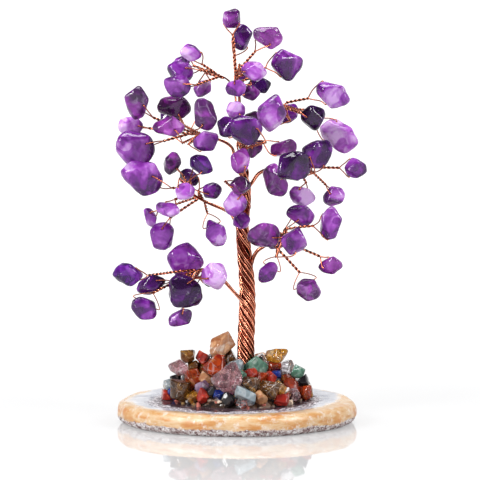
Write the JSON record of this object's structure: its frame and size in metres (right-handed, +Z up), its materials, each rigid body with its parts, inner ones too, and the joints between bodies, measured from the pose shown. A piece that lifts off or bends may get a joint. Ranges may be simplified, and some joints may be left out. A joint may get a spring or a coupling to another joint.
{
  "type": "gemstone tree ornament",
  "caption": "Wire tree with polished amethyst chips threaded on twisted copper twigs, standing in a mound of tumbled pebbles on a round agate slice.",
  "frame": {"origin": "middle of the slice's flat underside", "axes": "+Z up along the trunk, +X to the right and +Y to the back seen from the pictured side"},
  "size_m": [0.0976, 0.0891, 0.1584],
  "materials": {
    "amethyst": "tumbled and polished",
    "copper_wire": "bright copper wire",
    "agate": "polished face, rough rind",
    "glue": "clear hardened glue",
    "carnelian": "tumbled",
    "tiger_eye": "tumbled",
    "aventurine": "tumbled",
    "clear_quartz": "tumbled",
    "rose_quartz": "tumbled",
    "red_jasper": "tumbled",
    "chalcedony": "tumbled",
    "citrine": "tumbled",
    "obsidian": "tumbled",
    "lepidolite": "tumbled",
    "peach_moonstone": "tumbled",
    "lapis": "tumbled"
  },
  "bodies": {
    "tree": {"agate_slice": "agate", "chips_centre": "amethyst", "chips_centre_high": "amethyst", "chips_lower_left": "amethyst", "chips_lower_right": "amethyst", "chips_mid_left": "amethyst", "chips_right": "amethyst", "chips_top": "amethyst", "chips_top_left": "amethyst", "chips_upper_left": "amethyst", "chips_upper_right": "amethyst", "glue_mound": "glue", "pebbles_aventurine": "aventurine", "pebbles_carnelian": "carnelian", "pebbles_chalcedony": "chalcedony", "pebbles_citrine": "citrine", "pebbles_clear_quartz": "clear_quartz", "pebbles_lapis": "lapis", "pebbles_lepidolite": "lepidolite", "pebbles_obsidian": "obsidian", "pebbles_peach_moonstone": "peach_moonstone", "pebbles_red_jasper": "red_jasper", "pebbles_rose_quartz": "rose_quartz", "pebbles_tiger_eye": "tiger_eye", "strand_centre": "copper_wire", "strand_centre_high": "copper_wire", "strand_lower_left": "copper_wire", "strand_lower_right": "copper_wire", "strand_mid_left": "copper_wire", "strand_right": "copper_wire", "strand_top": "copper_wire", "strand_top_left": "copper_wire", "strand_upper_left": "copper_wire", "strand_upper_right": "copper_wire", "twigs_centre": "copper_wire", "twigs_centre_high": "copper_wire", "twigs_lower_left": "copper_wire", "twigs_lower_right": "copper_wire", "twigs_mid_left": "copper_wire", "twigs_right": "copper_wire", "twigs_top": "copper_wire", "twigs_top_left": "copper_wire", "twigs_upper_left": "copper_wire", "twigs_upper_right": "copper_wire"},
    "hanging_chip_lower_left": {"hanging_chip_lower_left": "amethyst"},
    "hanging_chip_lower_right": {"hanging_chip_lower_right": "amethyst"},
    "hanging_chip_far_right": {"hanging_chip_far_right": "amethyst"},
    "hanging_chip_mid_left": {"hanging_chip_mid_left": "amethyst"}
  },
  "joints": [
    {"name": "swing_lower_left", "type": "hinge", "parent": "tree", "child": "hanging_chip_lower_left", "pos_m": [-0.03422, -0.009, 0.04623], "axis": [0.8829, 0, -0.4695], "range_deg": [-20, 20]},
    {"name": "swing_lower_right", "type": "hinge", "parent": "tree", "child": "hanging_chip_lower_right", "pos_m": [0.01278, -0.008, 0.0602], "axis": [0.866, 0, -0.5], "range_deg": [-20, 20]},
    {"name": "swing_far_right", "type": "hinge", "parent": "tree", "child": "hanging_chip_far_right", "pos_m": [0.02615, -0.005, 0.05344], "axis": [0.8829, 0, 0.4695], "range_deg": [-20, 20]},
    {"name": "swing_mid_left", "type": "hinge", "parent": "tree", "child": "hanging_chip_mid_left", "pos_m": [-0.00929, -0.01, 0.07642], "axis": [0.9272, 0, 0.3746], "range_deg": [-20, 20]}
  ]
}
